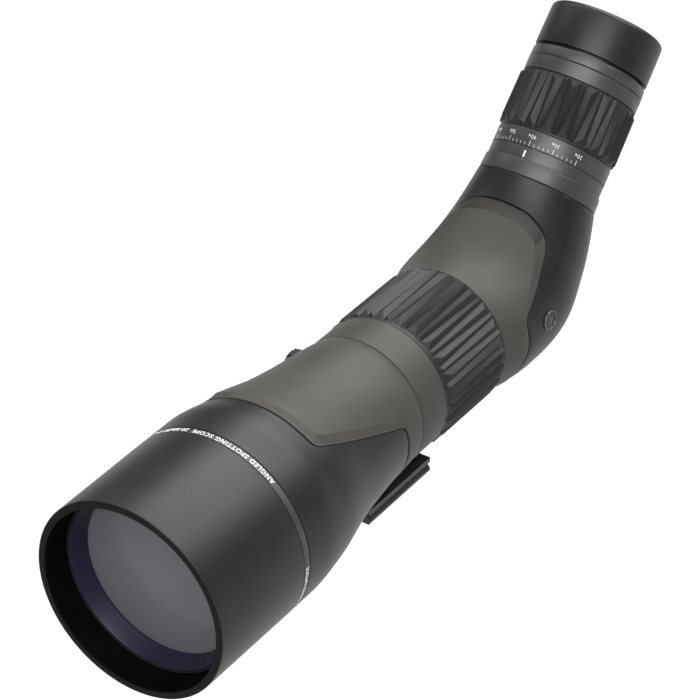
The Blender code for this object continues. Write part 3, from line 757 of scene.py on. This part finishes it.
def housing_panel_section(degrees):
    """Cross-section of the housing's panel at an angle, from the focus ring to its edge."""
    proud = faded(ELBOW_PROUD, degrees)
    edge = interpolate(ELBOW_EDGE, fold(degrees))
    crest = interpolate(ELBOW_CREST, fold(degrees))
    start, inset = min(0.4, proud), 0.003
    outer = [elbow_point(0.0, degrees, -0.3)]
    for i in range(HOUSING_ROWS + 1):
        lift = start + (proud - start) * (i / HOUSING_ROWS) ** 1.5
        outer.append(elbow_point(inset + (crest - inset) * i / HOUSING_ROWS, degrees, lift))
    for i in range(1, BEVEL_ROWS + 1):
        u = i / BEVEL_ROWS
        lift = EDGE_LIFT + (proud - EDGE_LIFT) * bevel_drop(u)
        outer.append(elbow_point(crest + (edge - crest) * u, degrees, lift))
    outer.append(elbow_point(edge, degrees, -0.8))
    return outer + [elbow_point(edge, degrees, -SKIN), elbow_point(edge / 2, degrees, -SKIN),
                    elbow_point(0.0, degrees, -SKIN)]


def make_housing():
    angles = spread_angles([(0, 28, 14), (28, 52, 44), (52, 60, 12), (60, 80, 36), (80, 110, 16),
                            (110, 180, 28)])
    armour = [housing_armour_section(degrees) for degrees in angles]
    panel = [housing_panel_section(degrees) for degrees in angles]
    attach(wrap_sections("housing_armour_skin", armour, TUBE, ARMOUR, SKIN_CREASE), "scope_body",
           "black_armour", "housing_armour")
    skin = wrap_sections("housing_panel_skin", panel, TUBE, OLIVE, SKIN_CREASE)
    rows, crest_row = len(panel[0]), HOUSING_ROWS + 1
    # The bevel on top of the panel gets painted shade.
    paint_step_shade(skin, angles, rows, crest_row)
    attach(crease(skin, rows, (crest_row,)), "scope_body", "olive_paint", "housing_panel")
    make_badge()


def paint_step_shade(skin, angles, rows, crest_row):
    """Paint shade onto the bevel across the top of the housing's panel, as a darker copy of the olive.

    The painted shade reaches the same angle on both sides, and a little further with each row.
    """
    reach, slant = 38, 0.7
    skin.data.materials.append(OLIVE_PAINTED_SHADE)
    for face in skin.data.polygons:
        corners = [(fold(angles[i // rows]), i % rows - crest_row) for i in face.vertices]
        if all(0 <= row <= BEVEL_ROWS and angle < reach + slant * row for angle, row in corners):
            face.material_index = 1


def make_badge():
    """A plain round emblem: a raised rim, a sunk field and a raised compass star."""
    middle, degrees = 0.385, 84
    centre = elbow_point(middle, degrees)
    away = (elbow_point(middle, degrees, 5.0) - centre).normalized()
    along = (elbow_point(0.42, degrees) - elbow_point(0.35, degrees)).normalized()
    across = away.cross(along).normalized()
    along = across.cross(away)
    basis = Matrix((along, across, away)).transposed().to_4x4()
    place = TUBE @ Matrix.Translation(centre * MM) @ basis
    disc = turned_solid("badge_disc", [(-0.9, 0), (-0.9, 4.9), (0.2, 4.9), (0.4, 4.7), (0.4, 4.3),
                                       (0.12, 4.1), (0.12, 0)], place, BLACK, 64)
    attach(disc, "scope_body", "ring_metal", "side_badge")
    rim = turned("badge_rim", [(0.0, 4.35, 0), (0.0, 4.8, 0), (0.55, 4.8, 0.12), (0.55, 4.35, 0.12)],
                 place, DARK_STEEL, 64)
    attach(rim, "scope_body", "ring_metal")
    tips, notch, long_tip, short_tip = 8, 1.0, 3.6, 2.3
    outline = []
    for i in range(2 * tips):
        reach = notch if i % 2 else (long_tip if i % 4 == 0 else short_tip)
        angle = math.pi * i / tips
        outline.append((reach * math.cos(angle), reach * math.sin(angle)))
    points = [Vector((x, y, 0.1)) for x, y in outline] + [Vector((0, 0, 0.5)), Vector((0, 0, 0.1))]
    count = len(outline)
    faces = [(i, (i + 1) % count, count) for i in range(count)]
    faces += [((i + 1) % count, i, count + 1) for i in range(count)]
    attach(add_mesh("badge_star", points, faces, place, DARK_STEEL, 10), "scope_body", "ring_metal")


# ---- eyepiece ------------------------------------------------------------------------

def make_eyepiece():
    bore = 25.2

    def band(name, first, last, low, high, rounding, body, node):
        """A metal ring from one s to another, with its radius at each."""
        piece = turned(name, [(first, bore, 0), (first, low, rounding), (last, high, rounding),
                              (last, bore, 0)], EYE, RING)
        attach(piece, body, "ring_metal", node)

    band("eyepiece_collar_band", 52.1, 60.0, 30.0, 29.6, 0.7, "scope_body", "eyepiece_mount_ring")
    band("index_band", 60.05, 66.05, 28.9, 28.9, 0.15, "scope_body", "index_ring")
    band("scale_band", 66.3, 74.75, 28.95, 28.95, 0.15, "zoom_ring", "zoom_scale_ring")
    band("upper_band", 104.65, 111.65, 28.9, 29.05, 0.2, "scope_body", "top_ring")
    band("cap_band", 111.85, 117.2, 29.05, 28.7, 0.9, "scope_body", "cap_ring")
    make_grip_piece("zoom_grip_ribs", EYE, pairs=20, first=10.2, stations=(75.0, 104.45),
                    radii=(28.5, 30.1, 26.9, 0.3), widths=(12.4, 5.6),
                    hips=((1.1, 3.9), (0.4, 3.4)), body="zoom_ring", node="zoom_grip")
    make_scale()
    make_eyecup()


def make_scale():
    """Dial from 20x to 60x, a tick for each 2x, and the fixed index mark."""
    rest, per_power, radius = 1.6, 2.42, 28.95
    bars = []
    for power in range(20, 61, 2):
        angle = rest + (40 - power) * per_power
        major = power % 10 == 0
        bars.append((angle, 0.25 if major else 0.19, 66.75, 69.2 if major else 68.2))
        if major:
            wrap_text(f"scale_number_{power}", f"{power}x", 1.95, EYE, radius, 71.3, angle,
                      "zoom_ring", spacing=1.08, ink=FAINT_PRINT)
    printed_bars("scale_ticks", bars, EYE, radius, "zoom_ring", FAINT_PRINT)
    printed_bars("index_mark", [(0.7, 0.8, 60.9, 64.2)], EYE, 28.9, "scope_body")


def make_eyecup():
    """The rubber cup, the tube that it twists up on, and the eye lens."""
    cup = turned("eyecup_rubber_cup", [(118.7, 25.6, 0), (118.7, 28.9, 0.5), (140.8, 28.6, 3.2),
                                       (140.8, 22.4, 1.6), (139.2, 20.3, 0.8), (137.6, 19.9, 0.2),
                                       (137.6, 25.6, 0)], EYE, EYECUP)
    attach(cup, "eyecup", "eyecup_rubber", "eyecup")
    sleeve = turned("eyecup_twist_tube", [(117.4, 23.6, 0), (117.4, 25.2, 0.2), (137.0, 25.2, 0.3),
                                          (137.0, 23.6, 0.2)], EYE, BLACK)
    attach(sleeve, "eyecup_twister", "black_anodised", "eyecup_twist_sleeve")
    steps, rim, curve = 10, 20.2, 90.0
    back, front = 127.8, 133.0
    outline = [(back, 0), (back, rim), (front - sag(rim, curve), rim)]
    outline += [(front - sag(rim * (1 - i / steps), curve), rim * (1 - i / steps))
                for i in range(1, steps + 1)]
    lens = turned_solid("eye_lens_glass", outline, EYE, EYE_GLASS, 96)
    attach(lens, "scope_body", "optical_glass", "eye_lens")


# ---- collar, foot and knob -----------------------------------------------------------

def make_collar():
    """The rotating collar: a band, the neck down to the foot and the boss of the lock screw."""
    band = turned("collar_band", [(174.3, 32.0, 0), (174.3, 34.65, 0.35), (193.4, 34.6, 0.35),
                                  (193.4, 32.0, 0)], TUBE, OLIVE)
    attach(band, "tripod_collar", "olive_paint", "collar_ring")
    middle, half, reach, top, bottom = 183.8, 14.0, 7.5, 33.0, 40.2
    corner, steps = 2.0, 5
    corners = [(half - corner, reach - corner, 0), (corner - half, reach - corner, 90),
               (corner - half, corner - reach, 180), (half - corner, corner - reach, 270)]
    outline = []
    for x, y, turn in corners:
        for k in range(steps + 1):
            angle = math.radians(turn + 90 * k / steps)
            outline.append((x + corner * math.cos(angle), y + corner * math.sin(angle)))
    count = len(outline)
    points = []
    for x, y in outline:
        arch = math.sqrt(top * top - x * x)
        points.append(Vector((x, arch, middle + y)))
    points += [Vector((x, bottom, middle + y)) for x, y in outline]
    faces = [(i, (i + 1) % count, count + (i + 1) % count, count + i) for i in range(count)]
    faces += [tuple(range(count)), tuple(range(2 * count - 1, count - 1, -1))]
    attach(add_mesh("collar_neck", points, faces, TUBE, OLIVE), "tripod_collar", "olive_paint")
    low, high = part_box("lock_knob")
    side = (Matrix.Translation((0, (low[1] + high[1]) / 2, (low[2] + high[2]) / 2))
            @ Matrix.Rotation(-math.pi / 2, 4, "Y"))
    boss = turned_solid("lock_boss", [(33.5, 0), (33.5, 5.6), (35.4, 5.2), (37.5, 5.1), (37.8, 4.8),
                                      (37.8, 0)], side, OLIVE, 48)
    attach(boss, "tripod_collar", "olive_paint")


def make_foot():
    """The dovetail foot with its edges broken."""
    chamfer, corner_angle = 0.25, 35
    mesh = frame["nodes"]["mounting_foot"].data.copy()
    mesh.name = "dovetail_foot"
    mesh.materials.clear()
    mesh.materials.append(BLACK)
    work = bmesh.new()
    work.from_mesh(mesh)
    bmesh.ops.dissolve_limit(work, angle_limit=math.radians(1), verts=work.verts, edges=work.edges)
    corners = [edge for edge in work.edges
               if len(edge.link_faces) == 2 and edge.calc_face_angle() > math.radians(corner_angle)]
    bmesh.ops.bevel(work, geom=corners, offset=chamfer * MM, segments=2, affect="EDGES",
                    clamp_overlap=True)
    work.to_mesh(mesh)
    work.free()
    mesh.shade_smooth()
    mesh.set_sharp_from_angle(angle=math.radians(25))
    foot = bpy.data.objects.new("dovetail_foot", mesh)
    bpy.context.collection.objects.link(foot)
    attach(foot, "tripod_collar", "black_anodised", "mounting_foot")


def make_knob():
    """The lock knob: a scalloped grip with a dished face."""
    low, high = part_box("lock_knob")
    centre = Vector(((low[0] + high[0]) / 2, (low[1] + high[1]) / 2, (low[2] + high[2]) / 2))
    start, stop, radius = -high[0] / MM, -low[0] / MM, (high[2] - low[2]) / 2 / MM
    place = Matrix.Translation((0, centre.y, centre.z)) @ Matrix.Rotation(-math.pi / 2, 4, "Y")
    lobes, fine, depth = 16, 8, 0.55
    # Each level is (s, radius, share of the scallop's depth).
    levels = [(start, 2.4, 0), (start, 3.9, 0), (start + 0.8, radius - 0.8, 0.2),
              (start + 1.4, radius - 0.1, 0.9), (start + 1.8, radius, 1), (stop - 1.6, radius, 1),
              (stop - 1.1, radius - 0.15, 0.9), (stop - 0.5, radius - 0.9, 0.2),
              (stop, radius - 1.6, 0), (stop - 0.5, radius - 2.6, 0)]
    sections = []
    for i in range(lobes * fine):
        degrees = 360 * i / (lobes * fine)
        scallop = depth * (0.5 - 0.5 * math.cos(2 * math.pi * i / fine)) ** 0.7
        sections.append([polar(s, r - scallop * share, degrees) for s, r, share in levels])
    rows, count = len(levels), len(sections)
    points = [p for section in sections for p in section]
    faces = []
    for i in range(count):
        here, there = i * rows, (i + 1) % count * rows
        faces += [(here + k, there + k, there + k + 1, here + k + 1) for k in range(rows - 1)]
    faces.append([i * rows for i in range(count)])
    faces.append([i * rows + rows - 1 for i in range(count)])
    attach(add_mesh("lock_knob_grip", points, faces, place, BLACK, 30), "lock_knob", "black_anodised",
           "lock_knob")


# ---- stage ---------------------------------------------------------------------------

def make_stage():
    """A plain floor that glows white, a faint white sky and three soft lamps, in metres."""
    floor_mesh = bpy.data.meshes.new("floor")
    reach, level = 40.0, -0.16
    floor_mesh.from_pydata([(-reach, -reach, level), (reach, -reach, level), (reach, reach, level),
                            (-reach, reach, level)], [], [(0, 1, 2, 3)])
    floor = bpy.data.objects.new("floor", floor_mesh)
    bpy.context.collection.objects.link(floor)
    pale = Shade("pale_floor", 0.9, Emission_Strength=0.86)
    pale.shader.inputs["Emission Color"].default_value = (1, 1, 1, 1)
    pale.colour(pale.noise(2, 1), (0.085, 0.085, 0.085), (0.095, 0.095, 0.095))
    floor_mesh.materials.append(pale.material)

    world = bpy.data.worlds.new("studio")
    world.use_nodes = True
    world.node_tree.nodes["Background"].inputs["Color"].default_value = (1, 1, 1, 1)
    world.node_tree.nodes["Background"].inputs["Strength"].default_value = 0.06
    bpy.context.scene.world = world

    middle = (0, 0.03, 0.07)

    def area(name, spot, size, power):
        """A rectangular lamp that faces the scope's middle."""
        light = bpy.data.lights.new(name, "AREA")
        light.shape = "RECTANGLE"
        light.size, light.size_y = size
        light.energy = power
        lamp = bpy.data.objects.new(name, light)
        lamp.location = spot
        lamp.rotation_euler = (Vector(middle) - Vector(spot)).to_track_quat("-Z", "Y").to_euler()
        bpy.context.collection.objects.link(lamp)

    area("rear_softbox", (0.16, 1.1, 1.35), (1.9, 1.4), 63)
    area("front_softbox", (0.55, -1.05, 1.3), (1.7, 1.2), 56)
    area("left_fill", (-1.2, 0.3, 1.4), (0.8, 1.6), 13)
    bpy.context.scene.view_settings.view_transform = "Standard"


def make_camera():
    """The camera looks down on the scope from its front right."""
    turn, rise = math.radians(34.2), math.radians(34.4)
    right, ahead, above = 716.6, 888.55, 907.6      # from the middle of the sunshade's front rim
    back = Vector((math.sin(turn) * math.cos(rise), -math.cos(turn) * math.cos(rise),
                   math.sin(rise)))
    data = bpy.data.cameras.new("camera")
    data.sensor_width = 36.0
    data.lens = 176.95
    camera = bpy.data.objects.new("camera", data)
    camera.location = (right * MM, (FRONT_Y - ahead) * MM, (AXIS_Z + above) * MM)
    camera.rotation_euler = (-back).to_track_quat("-Z", "Y").to_euler()
    bpy.context.collection.objects.link(camera)
    bpy.context.scene.camera = camera


make_camera()
make_stage()
finish_frame()
make_sunshade()
make_objective()
make_bell()
make_collar()
make_foot()
make_focus()
make_housing()
make_eyepiece()
make_knob()

bpy.context.view_layer.update()
